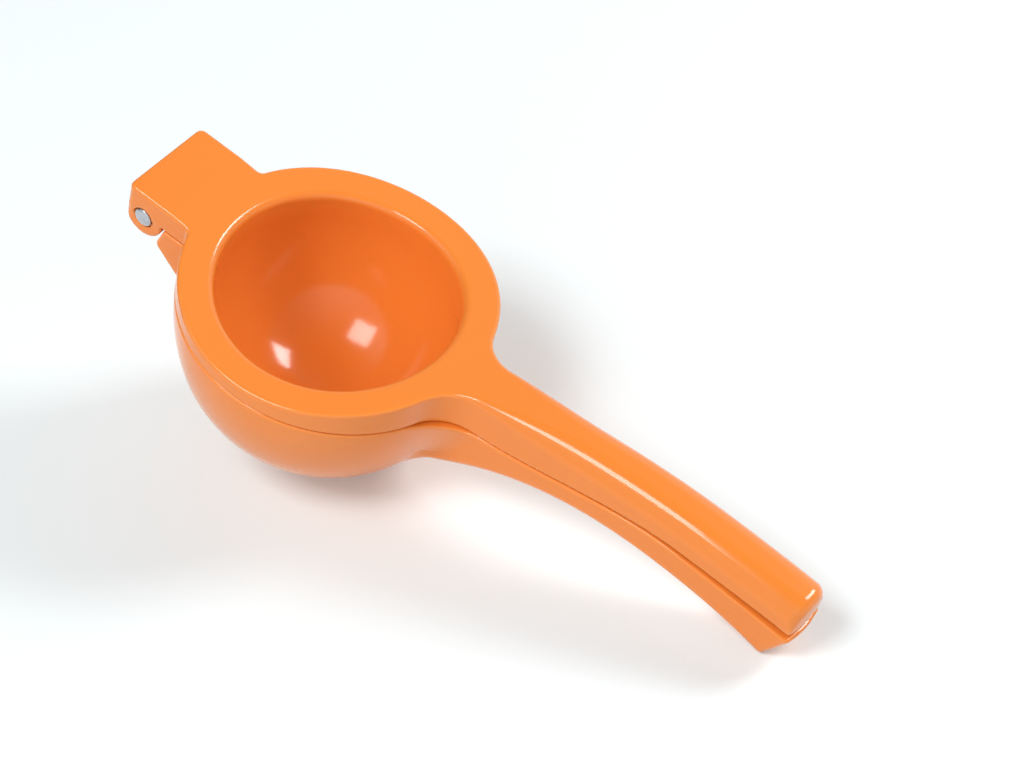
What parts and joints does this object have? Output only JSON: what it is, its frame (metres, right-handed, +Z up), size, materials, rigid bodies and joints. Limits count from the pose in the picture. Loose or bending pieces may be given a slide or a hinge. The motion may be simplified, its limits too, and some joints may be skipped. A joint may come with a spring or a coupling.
{
  "type": "citrus press",
  "caption": "Hinged hand press for oranges: a holed bowl with a handle below, a round dish with a handle above, joined by one pin.",
  "frame": {"origin": "on the surface the press stands on, under the middle of its bounding box", "axes": "+X along the handles from the hinge, +Y along the hinge pin, +Z up"},
  "size_m": [0.2448, 0.1, 0.0892],
  "materials": {
    "enamel": "glossy orange enamel",
    "steel": "turned and peened steel"
  },
  "bodies": {
    "lower": {"lower_arm": "enamel"},
    "upper": {"upper_arm": "enamel", "hinge_pin": "steel"}
  },
  "joints": [
    {"name": "hinge", "type": "hinge", "parent": "lower", "child": "upper", "pos_m": [-0.11522, 0, 0.07714], "axis": [0, -1, 0], "range_deg": [0, 120]}
  ]
}
